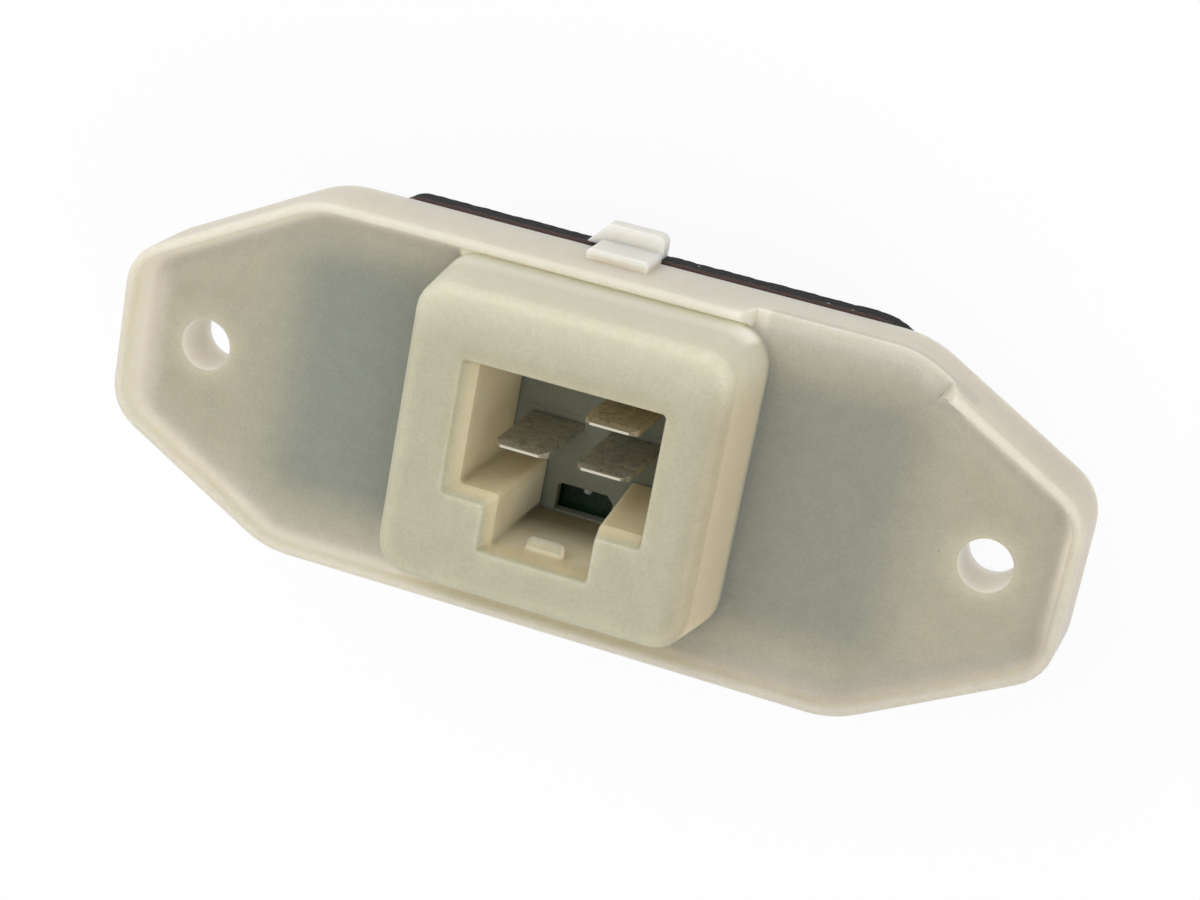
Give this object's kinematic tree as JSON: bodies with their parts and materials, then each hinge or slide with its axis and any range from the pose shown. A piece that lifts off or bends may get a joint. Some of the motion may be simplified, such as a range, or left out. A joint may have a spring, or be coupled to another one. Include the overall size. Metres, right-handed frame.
{
  "type": "blower motor resistor",
  "caption": "Blower motor resistor: moulded octagonal flange with a rim and two screw ears, a square blade connector, a foam gasket and a finned heat sink behind.",
  "frame": {"origin": "foot of the heat sink, on the tip of its middle fin, straight below the midpoint of the two screw holes", "axes": "+Z out of the connector, +X along the flange from one screw hole to the other, +Y towards the tab on the long edge"},
  "size_m": [0.115, 0.0469, 0.0503],
  "materials": {
    "ivory_plastic": "translucent ivory polyamide with a soft sheen",
    "black_foam": "matt black open foam",
    "tinned_brass": "dull tin plating over brass",
    "green_laminate": "dark green solder mask",
    "cast_aluminium": "fine grained as cast",
    "zinc_plated_steel": "bright zinc plating",
    "grey_silicone": "matt grey silicone sheet",
    "black_epoxy": "matt black moulding compound",
    "aluminium_can": "drawn aluminium can",
    "dark_ceramic": "dark glaze between plated ends",
    "tan_ceramic": "tan ceramic between plated ends"
  },
  "bodies": {
    "root": {"blade_lower_left": "tinned_brass", "blade_lower_right": "tinned_brass", "blade_upper_right": "tinned_brass", "board_screw_1": "zinc_plated_steel", "board_screw_2": "zinc_plated_steel", "chip_capacitor_1": "tan_ceramic", "chip_capacitor_2": "tan_ceramic", "chip_resistor_1": "dark_ceramic", "chip_resistor_2": "dark_ceramic", "chip_resistor_3": "dark_ceramic", "chip_resistor_4": "dark_ceramic", "circuit_board": "green_laminate", "control_chip": "black_epoxy", "gasket": "black_foam", "heat_sink": "cast_aluminium", "heat_sink_screw_1": "zinc_plated_steel", "heat_sink_screw_2": "zinc_plated_steel", "heat_sink_screw_3": "zinc_plated_steel", "heat_sink_screw_4": "zinc_plated_steel", "housing": "ivory_plastic", "power_transistor": "black_epoxy", "shunt_resistor": "dark_ceramic", "smoothing_capacitor": "aluminium_can", "thermal_pad": "grey_silicone", "transistor_screw": "zinc_plated_steel", "transistor_washer": "zinc_plated_steel"}
  },
  "joints": []
}
